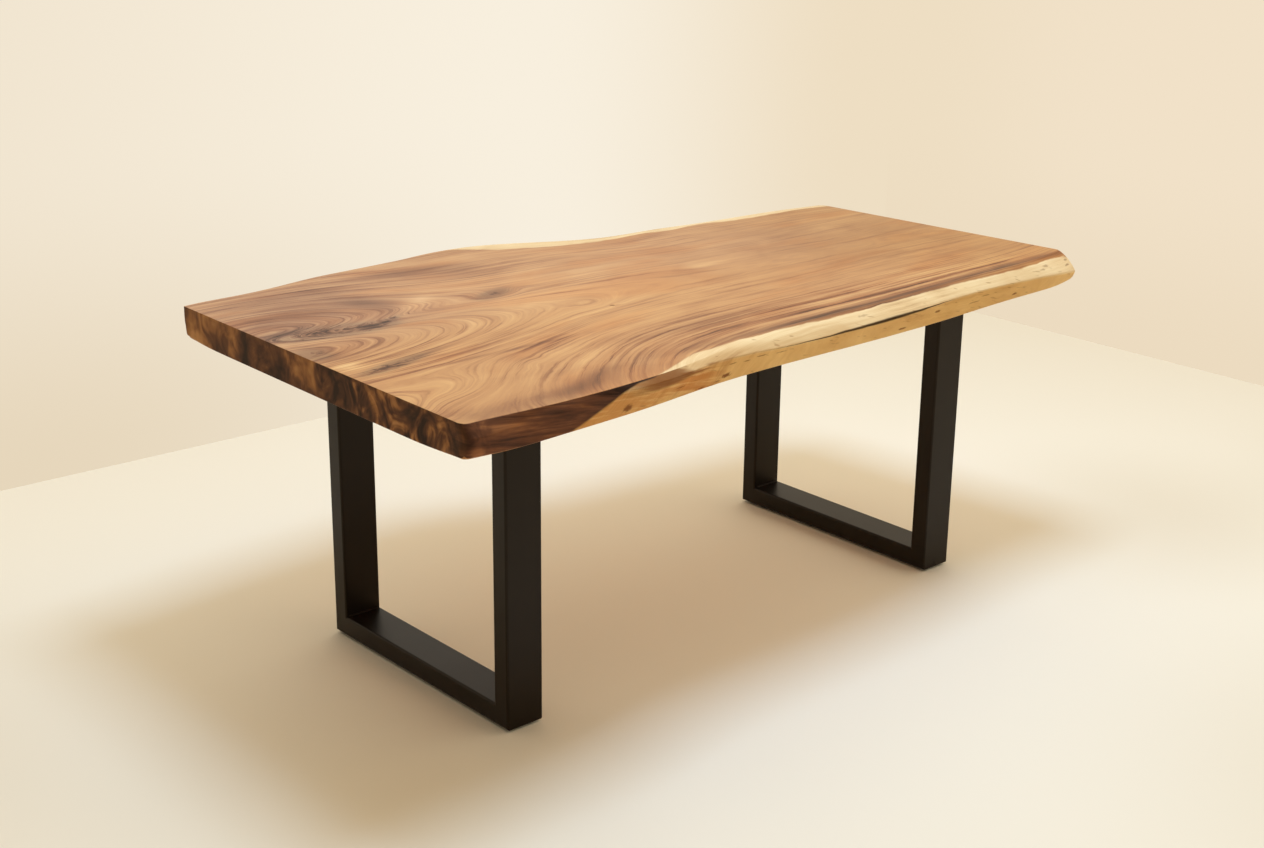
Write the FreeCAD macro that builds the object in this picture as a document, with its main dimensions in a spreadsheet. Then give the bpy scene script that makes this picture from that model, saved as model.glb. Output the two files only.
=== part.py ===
"""Live edge dining table: one thick slab of timber, bark edges left on, bolted down on two steel frames.

+X runs along the table to the right, +Y to the back and +Z up. The origin is on the floor, under the
middle of the table's own box. Millimetres and degrees throughout.
"""
import FreeCAD, Part
import os
import re

import Sketcher

os.makedirs("parts", exist_ok=True)
doc = FreeCAD.newDocument("live_edge_dining_table")

# ---------------------------------------------------------------------------------------------------
# Driving dimensions, one spreadsheet row each
# ---------------------------------------------------------------------------------------------------

SIZES = {
    # whole table
    "table_height": 760,
    "slab_length": 1868,            # along the middle line, between the two crosscuts
    "slab_width": 1000,             # across the sawn left end; edge offsets are counted from here
    "slab_thickness": 70,
    "slab_forward": 10,             # slab's middle to the right of the middle of the two frames
    "left_cut_angle": 0.8,          # crosscuts, away from square
    "right_cut_angle": 5,
    "planing": 6,                   # rough timber that is planed off each flat face
    "end_waste": 36,                # rough timber beyond each crosscut, on the middle line
    # welded frames of rectangular steel tube
    "frame_spacing": 1280,
    "frame_width": 630,
    "tube_width": 90,
    "tube_depth": 45,
    "tube_wall": 3.2,
    "tube_corner": 5,
    "plate_thickness": 8,
    # slots in the plates and the flanged bolts that go through them
    "row_pitch": 400,
    "column_pitch": 46,
    "slot_length": 22,
    "slot_width": 9,
    "bolt_diameter": 8,
    "bolt_length": 30,
    "bolt_hexagon": 13,
    "bolt_head_height": 8,
    "bolt_flange": 18,
    "bolt_flange_thickness": 2,
    "insert_diameter": 14,
    "insert_length": 22,
    "insert_room": 5,               # drilled deeper than the insert, for the bolt's tip
    "thread_clearance": 0.1,        # on the diameter, between every thread and its nut
    # levelling feet
    "foot_inset": 45,               # foot's axis in from the frame's outer face
    "nut_hexagon": 13,
    "nut_height": 6.5,
    "stud_diameter": 8,
    "stud_length": 30,              # from the collar to the tip
    "stud_room": 1,                 # on the diameter, where the stud passes through the rail's wall
    "collar_hexagon": 13,
    "collar_height": 2.5,
    "collar_clearance": 0.2,        # collar to rail, with the foot screwed right in
    "spigot_diameter": 10,
    "spigot_clearance": 0.1,        # all round the spigot, so that it turns in the pad
    "pad_diameter": 30,
    "pad_height": 3.2,
    "pad_floor": 1.4,
    # how far the frames' middle lies from the middle of the table's box, set at the end
    "shift_x": 0,
    "shift_y": 0,
}

# The slab's cross-sections, evenly spaced from left to right. Each edge is told by how far its top
# arris, its ridge and its underside stand out from half the slab's width, how deep the ridge lies
# below the top, and how far the shoulder between arris and ridge swells out of its chord.
EDGE = ("arris", "ridge", "under", "drop", "swell")
STATIONS = [
    # front edge, back edge
    ((21, 21.5, 13, 25, 0.2), (-30, -30.5, -40, 30, 0.2)),
    ((24, 24, 16, 20, 0.2), (-5, -5.5, -15, 30, 0.2)),
    ((23, 25, 2, 12, 0.5), (24, 23.5, 13, 30, 0.2)),
    ((-13, 25, -17, 9, 2), (49, 49, 38, 30, 0.2)),
    ((-60, -11, -39, 13, 5), (53, 55, 42, 26, 1)),
    ((-111, -20, -48, 21, 8), (36, 52, 36, 22, 4)),
    ((-137, -22, -49, 22, 9), (-57, -22, -44, 22, 7)),
    ((-143, -30, -51, 21, 9), (-98, -58, -80, 22, 7)),
    ((-147, -48, -58, 21, 9), (-111, -70, -92, 24, 7)),
    ((-147, -59, -73, 22, 9), (-123, -82, -104, 26, 7)),
    ((-144, -62, -84, 27, 9), (-138, -98, -120, 26, 7)),
    ((-159, -86, -99, 44, 10), (-156, -116, -140, 30, 7)),
]


def sheet_rows():
    """Every driving dimension as (alias, number), the stations' included."""
    yield from SIZES.items()
    for number, edges in enumerate(STATIONS):
        for side, edge in zip(("front", "back"), edges):
            for name, value in zip(EDGE, edge):
                yield f"{side}_{name}_{number}", value


sheet = doc.addObject("Spreadsheet::Sheet", "sizes")
aliases = set()
for row, (alias, value) in enumerate(sheet_rows(), start=1):
    sheet.set(f"A{row}", alias)
    sheet.set(f"B{row}", str(value))
    sheet.setAlias(f"B{row}", alias)
    aliases.add(alias)
doc.recompute()

# ---------------------------------------------------------------------------------------------------
# Lengths that several pieces share
# ---------------------------------------------------------------------------------------------------

COLLAR_BASE = "(pad_height + spigot_clearance)"
FOOT_GAP = f"({COLLAR_BASE} + collar_height + collar_clearance)"
SLAB_UNDERSIDE = "(table_height - slab_thickness)"
PLATE_UNDERSIDE = f"({SLAB_UNDERSIDE} - plate_thickness)"
STUD_BORE = "(stud_diameter + thread_clearance)"
ROWS, COLUMNS = 2, 2
QUARTER_SWELL = "(1 - cos(45))"     # a quarter circle's height over its chord, per unit of radius
OVERCUT = "planing"                 # how far a cut runs on past what it takes away

# ---------------------------------------------------------------------------------------------------
# Drawing and feature helpers
# ---------------------------------------------------------------------------------------------------


def bound(expression):
    """The expression as another object writes it, with each alias looked up in the sheet."""
    return re.sub(r"[a-z_]+[a-z0-9_]*", lambda m: f"sizes.{m[0]}" if m[0] in aliases else m[0], expression)


def value(expression):
    return float(sheet.evalExpression(expression))


def new_body(label):
    body = doc.addObject("PartDesign::Body", label)
    body.Label = label
    return body


def datum(body, role):
    """One of the body's own origin planes or axes."""
    return next(item for item in body.Origin.OriginFeatures if item.Role == role)


def new_sketch(body, name, role, height="0"):
    """A sketch on one of the body's own planes, that far along the plane's normal."""
    sketch = body.newObject("Sketcher::SketchObject", name)
    sketch.AttachmentSupport = [(datum(body, role), "")]
    sketch.MapMode = "FlatFace"
    sketch.setExpression(".AttachmentOffset.Base.z", bound(height))
    return sketch


def hold(sketch, kind, places, expression):
    """A dimension constraint bound to the sheet."""
    number = sketch.addConstraint(Sketcher.Constraint(kind, *places, value(expression)))
    sketch.setExpression(f"Constraints[{number}]", bound(expression))


def outline(sketch, corners, swells=None):
    """A closed outline through corners, clockwise. An edge listed in swells is an arc of that height."""
    swells = swells or {}
    points = [FreeCAD.Vector(value(x), value(y), 0) for x, y in corners]
    edges = []
    for i, start in enumerate(points):
        end = points[(i + 1) % len(points)]
        chord = end - start
        curve = Part.LineSegment(start, end)
        if i in swells:
            outward = FreeCAD.Vector(-chord.y, chord.x, 0).normalize()
            curve = Part.Arc(start, (start + end) / 2 + outward * value(swells[i]), end)
        number = sketch.addGeometry(curve)
        runs_on = sketch.getPoint(number, 1).distanceToPoint(start) < chord.Length / 2
        edges.append((number, 1, 2) if runs_on else (number, 2, 1))
    for i, (number, first, last) in enumerate(edges):
        following = edges[(i + 1) % len(edges)]
        sketch.addConstraint(Sketcher.Constraint("Coincident", number, last, following[0], following[1]))
        x, y = corners[i]
        hold(sketch, "DistanceX", (-1, 1, number, first), x)
        hold(sketch, "DistanceY", (-1, 1, number, first), y)
    for i, swell in swells.items():
        (x0, y0), (x1, y1) = corners[i], corners[(i + 1) % len(corners)]
        chord_squared = f"((({x1}) - ({x0}))^2 + (({y1}) - ({y0}))^2)"
        hold(sketch, "Radius", (edges[i][0],), f"{chord_squared} / (8 * ({swell})) + ({swell}) / 2")


def rounded_rectangle(sketch, half_x, low_y, high_y, radius):
    """A rectangle centred on the sketch's upright axis, with its four corners rounded."""
    x, r = f"({half_x})", f"({radius})"
    corners = [
        (f"-{x}", f"{low_y} + {r}"), (f"-{x}", f"{high_y} - {r}"),
        (f"-{x} + {r}", high_y), (f"{x} - {r}", high_y),
        (x, f"{high_y} - {r}"), (x, f"{low_y} + {r}"),
        (f"{x} - {r}", low_y), (f"-{x} + {r}", low_y),
    ]
    outline(sketch, corners, {edge: f"{r} * {QUARTER_SWELL}" for edge in (1, 3, 5, 7)})


def circle(sketch, x, y, diameter):
    place = FreeCAD.Vector(value(x), value(y), 0)
    number = sketch.addGeometry(Part.Circle(place, FreeCAD.Vector(0, 0, 1), value(diameter) / 2))
    hold(sketch, "DistanceX", (-1, 1, number, 3), x)
    hold(sketch, "DistanceY", (-1, 1, number, 3), y)
    hold(sketch, "Diameter", (number,), diameter)


def hexagon(sketch, across_flats):
    corner = f"{across_flats} / 2 / cos(30)"
    outline(sketch, [(f"{corner} * cos({60 * k})", f"-{corner} * sin({60 * k})") for k in range(6)])


def pad(body, sketch, name, length, symmetric=False):
    feature = body.newObject("PartDesign::Pad", name)
    feature.Profile = sketch
    feature.SideType = "Symmetric" if symmetric else "One side"
    feature.setExpression("Length", bound(length))
    return feature


def pocket(body, sketch, name, depth, along_normal=False, symmetric=False):
    """A cut of that depth against the sketch's normal, along it, or half each way."""
    feature = body.newObject("PartDesign::Pocket", name)
    feature.Profile = sketch
    feature.SideType = "Symmetric" if symmetric else "One side"
    feature.Reversed = along_normal
    feature.setExpression("Length", bound(depth))
    return feature


def turned(body, name, corners, swells=None):
    """A solid of revolution about the body's Z axis; each corner is (radius, height)."""
    sketch = new_sketch(body, f"{name}_profile", "XZ_Plane")
    outline(sketch, corners, swells)
    feature = body.newObject("PartDesign::Revolution", name)
    feature.Profile = sketch
    feature.ReferenceAxis = (sketch, ["V_Axis"])
    feature.Angle = 360
    return feature


def grid(body, features, name):
    """Repeats features from one corner of a plate's bolt pattern over all its rows and columns."""
    pattern = body.newObject("PartDesign::LinearPattern", name)
    pattern.Originals = features
    pattern.Direction = (datum(body, "X_Axis"), [""])
    pattern.Occurrences = COLUMNS
    pattern.setExpression("Length", bound(f"column_pitch * {COLUMNS - 1}"))
    pattern.Direction2 = (datum(body, "Y_Axis"), [""])
    pattern.Occurrences2 = ROWS
    pattern.setExpression("Length2", bound(f"row_pitch * {ROWS - 1}"))
    body.Tip = pattern
    return pattern


def mirrored(body, features, name):
    """Repeats features on the other side of the body's XZ plane."""
    mirror = body.newObject("PartDesign::Mirrored", name)
    mirror.Originals = features
    mirror.MirrorPlane = (datum(body, "XZ_Plane"), [""])
    body.Tip = mirror
    return mirror


def place(body, x, y, z, turn=0):
    """Puts a body at a point counted from the middle of the two frames, on the floor."""
    body.Placement = FreeCAD.Placement(FreeCAD.Vector(), FreeCAD.Rotation(FreeCAD.Vector(0, 0, 1), turn))
    body.setExpression(".Placement.Base.x", bound(f"{x} + shift_x"))
    body.setExpression(".Placement.Base.y", bound(f"{y} + shift_y"))
    body.setExpression(".Placement.Base.z", bound(z))


# ---------------------------------------------------------------------------------------------------
# Slab: lofted through its natural sections, then planed, crosscut and drilled for the inserts
# ---------------------------------------------------------------------------------------------------


def slab_section(body, number):
    """One cross-section of the rough slab, taller than the planed one by the planing on each face."""
    share = number / (len(STATIONS) - 1) - 0.5
    sketch = new_sketch(body, f"section_{number}", "YZ_Plane", f"{share} * (slab_length + end_waste * 2)")

    def stands_out(side, name):
        sign = "-" if side == "front" else ""
        return f"{sign}(slab_width / 2 + {side}_{name}_{number})"

    corners = [
        (stands_out("front", "under"), "-planing"),
        (stands_out("front", "ridge"), f"slab_thickness - front_drop_{number}"),
        (stands_out("front", "arris"), "slab_thickness + planing"),
        (stands_out("back", "arris"), "slab_thickness + planing"),
        (stands_out("back", "ridge"), f"slab_thickness - back_drop_{number}"),
        (stands_out("back", "under"), "-planing"),
    ]
    outline(sketch, corners, {1: f"front_swell_{number}", 3: f"back_swell_{number}"})
    return sketch


def planed(body, name, height, upwards):
    """Takes everything beyond one flat face off the rough slab."""
    sketch = new_sketch(body, f"{name}_field", "XY_Plane", height)
    far_x, far_y = "slab_length", "slab_width"
    outline(sketch, [(f"-{far_x}", f"-{far_y}"), (f"-{far_x}", far_y), (far_x, far_y), (far_x, f"-{far_y}")])
    pocket(body, sketch, name, "planing * 2", along_normal=upwards)


def crosscut(body, name, sign, angle):
    """Takes the rough end off along a line that is the angle away from square."""
    sketch = new_sketch(body, f"{name}_field", "XY_Plane", "-planing * 2")
    lean = f"slab_width * tan({angle})"
    near = [
        (f"{sign} * (slab_length / 2 + {lean})", "-slab_width"),
        (f"{sign} * (slab_length / 2 - {lean})", "slab_width"),
    ]
    far = [(f"{sign} * slab_length", "slab_width"), (f"{sign} * slab_length", "-slab_width")]
    outline(sketch, near + far if sign > 0 else (near + far)[::-1])
    pocket(body, sketch, name, "slab_thickness + planing * 4", along_normal=True)


def drilled_grid(body, side, sign):
    """Blind holes in the underside for one frame's threaded inserts."""
    sketch = new_sketch(body, f"{side}_hole", "XY_Plane")
    x = f"{sign} * frame_spacing / 2 - slab_forward - column_pitch / 2 * {COLUMNS - 1}"
    circle(sketch, x, f"-row_pitch / 2 * {ROWS - 1}", "insert_diameter")
    hole = pocket(body, sketch, f"{side}_insert_hole", "insert_length + insert_room", along_normal=True)
    grid(body, [hole], f"{side}_insert_holes")


def make_slab():
    body = new_body("slab_top")
    sections = [slab_section(body, number) for number in range(len(STATIONS))]
    loft = body.newObject("PartDesign::AdditiveLoft", "rough_slab")
    loft.Profile = sections[0]
    loft.Sections = sections[1:]
    planed(body, "planed_top", "slab_thickness", upwards=True)
    planed(body, "planed_underside", "0", upwards=False)
    crosscut(body, "left_crosscut", -1, "left_cut_angle")
    crosscut(body, "right_crosscut", 1, "right_cut_angle")
    for side, sign in SIDES.items():
        drilled_grid(body, side, sign)
    place(body, "slab_forward", "0", SLAB_UNDERSIDE)
    return body


# ---------------------------------------------------------------------------------------------------
# Frames: two uprights and a bottom rail of hollow tube, mitred and welded, with a plate across the top
# ---------------------------------------------------------------------------------------------------


def tube_section(body, role):
    """The tube's ring-shaped section, rounded outside and square inside, on the sketch's level axis."""
    sketch = new_sketch(body, "tube_section", role)
    rounded_rectangle(sketch, "tube_width / 2", "0", "tube_depth", "tube_corner")
    inside, low, high = "(tube_width / 2 - tube_wall)", "tube_wall", "tube_depth - tube_wall"
    outline(sketch, [(f"-{inside}", low), (f"-{inside}", high), (inside, high), (inside, low)])
    return sketch


def make_upright(label, x, y, turn):
    """Stands with its outer face on the body's XZ plane; its foot is mitred down towards that face."""
    body = new_body(label)
    pad(body, tube_section(body, "XY_Plane"), "tube", f"{PLATE_UNDERSIDE} - {FOOT_GAP}")
    wedge = new_sketch(body, "mitre_wedge", "YZ_Plane")
    corner = f"(tube_depth + {OVERCUT})"
    outline(wedge, [(f"-{OVERCUT}", f"-{OVERCUT}"), (corner, corner), (corner, f"-{OVERCUT}")])
    pocket(body, wedge, "mitre", "tube_width * 2", symmetric=True)
    place(body, x, y, FOOT_GAP, turn)
    return body


def make_rail(label, x):
    """Lies across the table, mitred up towards both ends, with a hole underneath for each foot's stud."""
    body = new_body(label)
    pad(body, tube_section(body, "XZ_Plane"), "tube", "frame_width", symmetric=True)
    wedge = new_sketch(body, "mitre_wedge", "YZ_Plane")
    end, top = "-frame_width / 2", f"(tube_depth + {OVERCUT})"
    beyond = f"{end} - {OVERCUT}"
    outline(wedge, [(beyond, f"-{OVERCUT}"), (beyond, top), (f"{end} + {top}", top)])
    mitre = pocket(body, wedge, "mitre", "tube_width * 2", symmetric=True)
    passage = new_sketch(body, "stud_passage", "XY_Plane")
    circle(passage, "0", f"{end} + foot_inset", "stud_diameter + stud_room")
    hole = pocket(body, passage, "stud_hole", "tube_wall * 2", along_normal=True)
    mirrored(body, [mitre, hole], "other_end")
    place(body, x, "0", FOOT_GAP)
    return body


def make_plate(label, x):
    """A flat bar over both uprights. Its slots run across the grain, so that the slab can move."""
    body = new_body(label)
    bar = new_sketch(body, "bar", "XY_Plane")
    side, end = "tube_width / 2", "frame_width / 2"
    outline(bar, [(f"-{side}", f"-{end}"), (f"-{side}", end), (side, end), (side, f"-{end}")])
    pad(body, bar, "plate", "plate_thickness")
    sketch = new_sketch(body, "slot", "XY_Plane")
    x0, y0 = f"-column_pitch / 2 * {COLUMNS - 1}", f"-row_pitch / 2 * {ROWS - 1}"
    half, tip = "slot_width / 2", "slot_length / 2"
    side_end = f"({tip} - {half})"
    corners = [
        (f"{x0} - {half}", f"{y0} - {side_end}"), (f"{x0} - {half}", f"{y0} + {side_end}"),
        (x0, f"{y0} + {tip}"),
        (f"{x0} + {half}", f"{y0} + {side_end}"), (f"{x0} + {half}", f"{y0} - {side_end}"),
        (x0, f"{y0} - {tip}"),
    ]
    outline(sketch, corners, {edge: f"{half} * {QUARTER_SWELL}" for edge in (1, 2, 4, 5)})
    slot = pocket(body, sketch, "first_slot", "plate_thickness", along_normal=True)
    grid(body, [slot], "slots")
    place(body, x, "0", PLATE_UNDERSIDE)
    return body


# ---------------------------------------------------------------------------------------------------
# Fasteners that hold one frame to the slab: one node for each kind, as a grid of separate solids
# ---------------------------------------------------------------------------------------------------


def place_grid(body, x, z):
    """Puts the first of a grid of fasteners at the grid's corner."""
    place(body, f"{x} - column_pitch / 2 * {COLUMNS - 1}", f"-row_pitch / 2 * {ROWS - 1}", z)


def make_bolts(label, x):
    """Flanged hexagon bolts. They stand head down, the flange's bearing face on the body's XY plane."""
    body = new_body(label)
    shank, flange, flange_base = "bolt_diameter / 2", "bolt_flange / 2", "-bolt_flange_thickness"
    shaft = turned(body, "shank_and_flange", [
        ("0", flange_base), ("0", "bolt_length"), (shank, "bolt_length"), (shank, "0"),
        (flange, "0"), (flange, flange_base),
    ])
    sketch = new_sketch(body, "head_outline", "XY_Plane", "-bolt_head_height")
    hexagon(sketch, "bolt_hexagon")
    head = pad(body, sketch, "head", "bolt_head_height - bolt_flange_thickness")
    grid(body, [shaft, head], "bolts")
    place_grid(body, x, PLATE_UNDERSIDE)
    return body


def make_inserts(label, x):
    """Threaded sleeves that are screwed into the slab from below, flush with its underside."""
    body = new_body(label)
    inner, outer = "(bolt_diameter + thread_clearance) / 2", "insert_diameter / 2"
    top = "insert_length"
    sleeve = turned(body, "sleeve", [(inner, "0"), (inner, top), (outer, top), (outer, "0")])
    grid(body, [sleeve], "sleeves")
    place_grid(body, x, SLAB_UNDERSIDE)
    return body


# ---------------------------------------------------------------------------------------------------
# Levelling feet: a nut welded inside the rail, a stud with a hexagonal collar for the spanner, and a
# pad that the stud's spigot turns in. Heights are counted from the floor, with the foot screwed right in.
# ---------------------------------------------------------------------------------------------------


def make_foot_nut(label, x, y):
    body = new_body(label)
    sketch = new_sketch(body, "nut_outline", "XY_Plane")
    hexagon(sketch, "nut_hexagon")
    circle(sketch, "0", "0", STUD_BORE)
    pad(body, sketch, "nut", "nut_height")
    place(body, x, y, f"{FOOT_GAP} + tube_wall")
    return body


def make_foot_stud(label, x, y):
    body = new_body(label)
    shank, spigot, spigot_base = "stud_diameter / 2", "spigot_diameter / 2", "pad_floor + spigot_clearance"
    tip = f"{COLLAR_BASE} + stud_length"
    turned(body, "shank_and_spigot", [
        ("0", spigot_base), ("0", tip), (shank, tip), (shank, COLLAR_BASE), (spigot, COLLAR_BASE),
        (spigot, spigot_base),
    ])
    sketch = new_sketch(body, "collar_outline", "XY_Plane", COLLAR_BASE)
    hexagon(sketch, "collar_hexagon")
    pad(body, sketch, "collar", "collar_height")
    place(body, x, y, "0")
    return body


def make_foot_pad(label, x, y):
    body = new_body(label)
    socket, rim = "(spigot_diameter / 2 + spigot_clearance)", "pad_diameter / 2"
    turned(body, "pad", [
        ("0", "0"), ("0", "pad_floor"), (socket, "pad_floor"), (socket, "pad_height"),
        (rim, "pad_height"), (rim, "0"),
    ])
    place(body, x, y, "0")
    return body


# ---------------------------------------------------------------------------------------------------
# The table
# ---------------------------------------------------------------------------------------------------

SIDES = {"left": -1, "right": 1}
ENDS = {"front": -1, "rear": 1}

slab = make_slab()
nodes = [slab]
for side, side_sign in SIDES.items():
    frame_x = f"{side_sign} * frame_spacing / 2"
    nodes += [
        make_rail(f"{side}_bottom_rail", frame_x),
        make_plate(f"{side}_mounting_plate", frame_x),
        make_bolts(f"{side}_slab_bolts", frame_x),
        make_inserts(f"{side}_threaded_inserts", frame_x),
    ]
    for end, end_sign in ENDS.items():
        face_y = f"{end_sign} * frame_width / 2"
        foot_y = f"{end_sign} * (frame_width / 2 - foot_inset)"
        nodes += [
            make_upright(f"{side}_{end}_upright", frame_x, face_y, turn=0 if end_sign < 0 else 180),
            make_foot_nut(f"{side}_{end}_foot_nut", frame_x, foot_y),
            make_foot_stud(f"{side}_{end}_foot_stud", frame_x, foot_y),
            make_foot_pad(f"{side}_{end}_foot_pad", frame_x, foot_y),
        ]

# The slab reaches furthest every way, so its box sets where the table's middle is.
doc.recompute()
reach = slab.Shape.optimalBoundingBox(False, False)
sheet.set(sheet.getCellFromAlias("shift_x"), str(-reach.Center.x))
sheet.set(sheet.getCellFromAlias("shift_y"), str(-reach.Center.y))
doc.recompute()

failed = [item.Label for item in doc.Objects if {"Invalid", "Error"} & set(item.State)]
unsound = [body.Label for body in nodes if body.Shape.isNull() or not body.Shape.isValid()]
if failed or unsound:
    raise RuntimeError(f"failed features: {failed}; unsound shapes: {unsound}")

for body in nodes:
    body.Shape.exportStep(f"parts/{body.Label}.step")
    box = body.Shape.optimalBoundingBox(False, False)
    low, high = (box.XMin, box.YMin, box.ZMin), (box.XMax, box.YMax, box.ZMax)
    spans = "  ".join(f"{axis} {a:.1f}..{b:.1f}" for axis, a, b in zip("xyz", low, high))
    print(f"{body.Label:26s} {len(body.Shape.Solids)} solids {body.Shape.Volume / 1000:10.2f} cm3  {spans}")
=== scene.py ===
"""Live edge dining table: a slab of suar timber on two powder-coated steel frames, in a plain cream room.

Everything is in metres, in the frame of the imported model: +X along the table, +Y to the back, +Z up.
"""
import math

import bpy
import numpy as np
from mathutils import Matrix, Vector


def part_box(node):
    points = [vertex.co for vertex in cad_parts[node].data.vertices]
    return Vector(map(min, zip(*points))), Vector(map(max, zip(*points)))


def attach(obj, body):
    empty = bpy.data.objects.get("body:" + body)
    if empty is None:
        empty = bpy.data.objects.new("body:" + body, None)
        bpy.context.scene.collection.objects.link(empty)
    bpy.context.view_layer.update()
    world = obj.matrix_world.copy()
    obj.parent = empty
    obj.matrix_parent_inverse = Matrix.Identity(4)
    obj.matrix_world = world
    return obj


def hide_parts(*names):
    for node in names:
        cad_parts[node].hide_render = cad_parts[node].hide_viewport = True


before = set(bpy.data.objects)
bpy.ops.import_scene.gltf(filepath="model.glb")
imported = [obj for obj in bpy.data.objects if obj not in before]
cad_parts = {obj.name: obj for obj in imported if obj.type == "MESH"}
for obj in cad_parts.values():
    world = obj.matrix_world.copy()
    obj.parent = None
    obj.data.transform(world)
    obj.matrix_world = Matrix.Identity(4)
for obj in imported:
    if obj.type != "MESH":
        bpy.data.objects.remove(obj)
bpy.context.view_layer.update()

# ---------------------------------------------------------------------------------------------------
# The room: a cream floor and two plain walls that meet behind the table, under one wide soft lamp.
# The walls only show behind things and in reflections; the floor is painted board that takes the shadow.
# ---------------------------------------------------------------------------------------------------


class Tone:
    """A shader socket that takes part in plain sums; every operator adds the Math node for it."""

    def __init__(self, recipe, socket):
        self.recipe, self.socket = recipe, socket

    def math(self, operation, *terms):
        return self.recipe.node("ShaderNodeMath", {"operation": operation}, dict(enumerate(terms)))

    def __add__(self, other):
        return self.math("ADD", self, other)

    def __radd__(self, other):
        return self.math("ADD", other, self)

    def __sub__(self, other):
        return self.math("SUBTRACT", self, other)

    def __rsub__(self, other):
        return self.math("SUBTRACT", other, self)

    def __mul__(self, other):
        return self.math("MULTIPLY", self, other)

    def __rmul__(self, other):
        return self.math("MULTIPLY", other, self)

    def __truediv__(self, other):
        return self.math("DIVIDE", self, other)

    def __rtruediv__(self, other):
        return self.math("DIVIDE", other, self)

    def __abs__(self):
        return self.math("ABSOLUTE", self)

    def at_least(self, limit):
        """The larger of this value and the limit."""
        return self.math("MAXIMUM", self, limit)

    def at_most(self, limit):
        """The smaller of this value and the limit."""
        return self.math("MINIMUM", self, limit)


class Recipe:
    """A node tree being written out; node() adds a node from its type, its settings and its sockets."""

    def __init__(self, tree):
        self.tree = tree
        tree.nodes.clear()

    def node(self, kind, settings=None, sockets=None, out=0):
        made = self.tree.nodes.new(kind)
        for name, value in (settings or {}).items():
            if name == "stops":
                elements = made.color_ramp.elements
                for element, (place, colour) in zip(elements, (value[0], value[-1])):
                    element.position, element.color = place, colour
                for place, colour in value[1:-1]:
                    elements.new(place).color = colour
            else:
                setattr(made, name, value)
        for name, value in (sockets or {}).items():
            if isinstance(value, Tone):
                self.tree.links.new(value.socket, made.inputs[name])
            else:
                made.inputs[name].default_value = value
        return Tone(self, made.outputs[out]) if made.outputs else made

    def mix(self, share, first, second, blend="MIX"):
        """Colours blended: the first where share is 0, the second where it is 1."""
        settings = {"data_type": "RGBA", "blend_type": blend}
        return self.node("ShaderNodeMix", settings, {0: share, 6: first, 7: second}, out=2)

    def rise(self, value, low, high, start=0.0, end=1.0):
        """Goes smoothly from start to end while value goes from low to high."""
        sockets = {"Value": value, "From Min": low, "From Max": high, "To Min": start, "To Max": end}
        return self.node("ShaderNodeMapRange", {"interpolation_type": "SMOOTHSTEP"}, sockets)

    def noise(self, vector, scale, detail=2.0, roughness=0.5, distortion=0.0):
        """A cloudy value from 0 to 1 that varies about 0.5, read at the vector times the scale."""
        sockets = {"Vector": vector, "Scale": scale, "Detail": detail, "Roughness": roughness,
                   "Distortion": distortion}
        return self.node("ShaderNodeTexNoise", None, sockets)

    def place(self, x, y, z):
        """A vector from its three parts."""
        return self.node("ShaderNodeCombineXYZ", None, {0: x, 1: y, 2: z})


def new_finish(name):
    """A material with an empty node tree, and the recipe that fills it."""
    material = bpy.data.materials.new(name)
    material.use_nodes = True
    return material, Recipe(material.node_tree)


def paint(red, green, blue):
    """Screen values from 0 to 255 as a linear colour, by the sRGB curve."""
    shares = (np.array([red, green, blue]) / 255).tolist()
    return tuple(s / 12.92 if s <= 0.04045 else ((s + 0.055) / 1.055) ** 2.4 for s in shares) + (1.0,)


def new_piece(name, points, faces, material, smooth=True):
    """A mesh object at the origin, from an array of points and a list of arrays of faces."""
    mesh = bpy.data.meshes.new(name)
    mesh.from_pydata(points.reshape(-1, 3), [], [face for block in faces for face in block.tolist()])
    if smooth:
        mesh.shade_smooth()
    else:
        mesh.shade_flat()
    mesh.materials.append(material)
    piece = bpy.data.objects.new(name, mesh)
    bpy.context.scene.collection.objects.link(piece)
    return piece


def grid_faces(number):
    """Quads between the neighbours in a grid of point numbers."""
    return np.stack([number[:-1, :-1], number[:-1, 1:], number[1:, 1:], number[1:, :-1]], -1).reshape(-1, 4)


def seen_directly(recipe):
    """1 for what a camera, a reflection or a clear material looks at, 0 for light that bounces about."""
    looks, mirrored, seen_through = (recipe.node("ShaderNodeLightPath", out=f"Is {kind} Ray")
                                     for kind in ("Camera", "Glossy", "Transmission"))
    return (looks + mirrored + seen_through).at_most(1.0)


floor_paint_and_shade, recipe = new_finish("floor_paint_and_shade")
spot = recipe.node("ShaderNodeTexCoord", out="Object")
patches = recipe.noise(spot, 0.6, detail=1.0)
colour = recipe.mix(patches, paint(247, 239, 225), paint(249, 242, 230))
# painted shade on the floor: duller patches that stand in for the light falling off, and a painted shadow
# that deepens the table's shadow by its left end; the middle and the reach of each place
painted_shade_spots = [((-2.0, 0.35, 0.0), 1.25), ((0.55, -1.75, 0.0), 1.0), ((1.35, -0.45, 0.0), 0.7),
              ((-1.02, -0.35, 0.0), 0.65), ((-1.00, -0.42, 0.0), 0.30), ((2.30, -1.00, 0.0), 0.9)]
for dull, reach in painted_shade_spots:
    away = recipe.node("ShaderNodeVectorMath", {"operation": "DISTANCE"}, {0: spot, 1: dull}, out="Value")
    colour = recipe.mix(recipe.rise(away, reach, 0.0) * 0.5, colour, paint(226, 212, 190))
surface = recipe.node("ShaderNodeBsdfPrincipled", None, {"Base Color": colour, "Roughness": 0.8,
                                                         "Specular IOR Level": 0.15})
recipe.node("ShaderNodeOutputMaterial", None, {"Surface": surface})

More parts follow.
